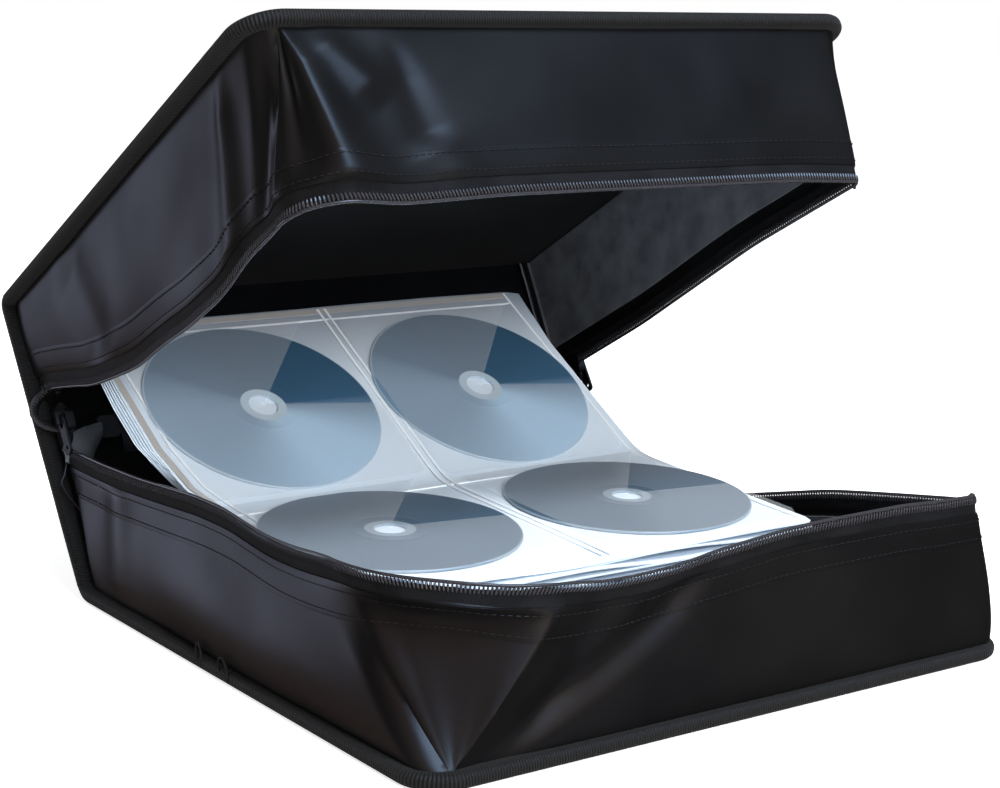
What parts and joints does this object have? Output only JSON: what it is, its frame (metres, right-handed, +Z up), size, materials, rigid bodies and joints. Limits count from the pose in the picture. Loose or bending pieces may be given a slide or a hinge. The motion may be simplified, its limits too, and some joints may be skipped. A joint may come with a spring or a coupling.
{
  "type": "disc storage wallet",
  "caption": "Soft zipped storage wallet for discs: three stiff panels with leatherette walls, part open, with pocket sleeves on rings.",
  "frame": {"origin": "middle of the base's underside, on the surface it stands on", "axes": "+X to the right along the spine, -Y to the front edge where the zip opens, +Z up"},
  "size_m": [0.3296, 0.3942, 0.2916],
  "materials": {
    "leatherette": "satin",
    "board": "matt",
    "nylon_lining": "matt",
    "grosgrain": "matt",
    "zip_tape": "matt",
    "zip_teeth": "gloss",
    "black_zinc": "gloss",
    "plated_steel": "polished",
    "sleeve": "satin",
    "disc": "gloss",
    "clear_film": "gloss"
  },
  "bodies": {
    "base": {"base_skin": "leatherette", "base_board": "board", "base_lining": "nylon_lining", "base_binding": "grosgrain", "base_wall": "leatherette", "base_wall_lining": "nylon_lining", "base_zip_tape": "zip_tape", "base_zip_teeth": "zip_teeth"},
    "spine": {"spine_skin": "leatherette", "spine_board": "board", "spine_lining": "nylon_lining", "spine_binding_left": "grosgrain", "spine_binding_right": "grosgrain", "base_fold": "leatherette", "lid_fold": "leatherette", "ring_plate": "plated_steel", "ring_rivets": "plated_steel", "ring_fixed_halves": "plated_steel", "zip_end_left": "nylon_lining", "zip_end_right": "nylon_lining", "zip_slider_left": "black_zinc", "zip_slider_right": "black_zinc"},
    "lid": {"lid_skin": "leatherette", "lid_board": "board", "lid_lining": "nylon_lining", "lid_binding": "grosgrain", "lid_wall": "leatherette", "lid_wall_lining": "nylon_lining", "lid_zip_tape": "zip_tape", "lid_zip_teeth": "zip_teeth"},
    "ring_jaws": {"ring_opening_halves": "plated_steel", "ring_levers": "plated_steel"},
    "sleeves": {"sleeve_raised_1": "sleeve", "sleeve_raised_2": "sleeve", "sleeve_raised_3": "sleeve", "sleeve_flat_1": "sleeve", "sleeve_flat_2": "sleeve", "sleeve_flat_3": "sleeve", "sleeve_flat_4": "sleeve", "sleeve_flat_5": "sleeve", "sleeve_flat_6": "sleeve", "sleeve_flat_7": "sleeve", "sleeve_flat_8": "sleeve", "sleeve_flat_9": "sleeve", "disc_back_left": "disc", "disc_back_right": "disc", "disc_front_left": "disc", "disc_front_right": "disc", "pocket_fronts": "clear_film"},
    "pull_left": {"zip_pull_left": "black_zinc"},
    "pull_right": {"zip_pull_right": "black_zinc"}
  },
  "joints": [
    {"name": "spine_hinge", "type": "hinge", "parent": "base", "child": "spine", "pos_m": [0, 0.1508, 0.0022], "axis": [-1, 0, 0], "range_deg": [-30.3, 56.9]},
    {"name": "lid_hinge", "type": "hinge", "parent": "spine", "child": "lid", "pos_m": [0, 0.239, 0.13749], "axis": [-1, 0, 0], "range_deg": [0, 92.8]},
    {"name": "sleeve_slide", "type": "slide", "parent": "base", "child": "sleeves", "axis": [0, 1, 0], "range_m": [-0.027, 0.05]},
    {"name": "ring_open", "type": "hinge", "parent": "spine", "child": "ring_jaws", "pos_m": [0, 0.19113, 0.0723], "axis": [-1, 0, 0], "range_deg": [0, 12]},
    {"name": "pull_left_swing", "type": "hinge", "parent": "spine", "child": "pull_left", "pos_m": [-0.1626, 0.18168, 0.08592], "axis": [0, 0.8377, -0.5461], "range_deg": [0, 80]},
    {"name": "pull_right_swing", "type": "hinge", "parent": "spine", "child": "pull_right", "pos_m": [0.1626, 0.18168, 0.08592], "axis": [0, -0.8377, 0.5461], "range_deg": [0, 80]}
  ],
  "couplings": [
    {"joint": "sleeve_slide", "follows": "spine_hinge", "m_per_rad": 0.05}
  ]
}
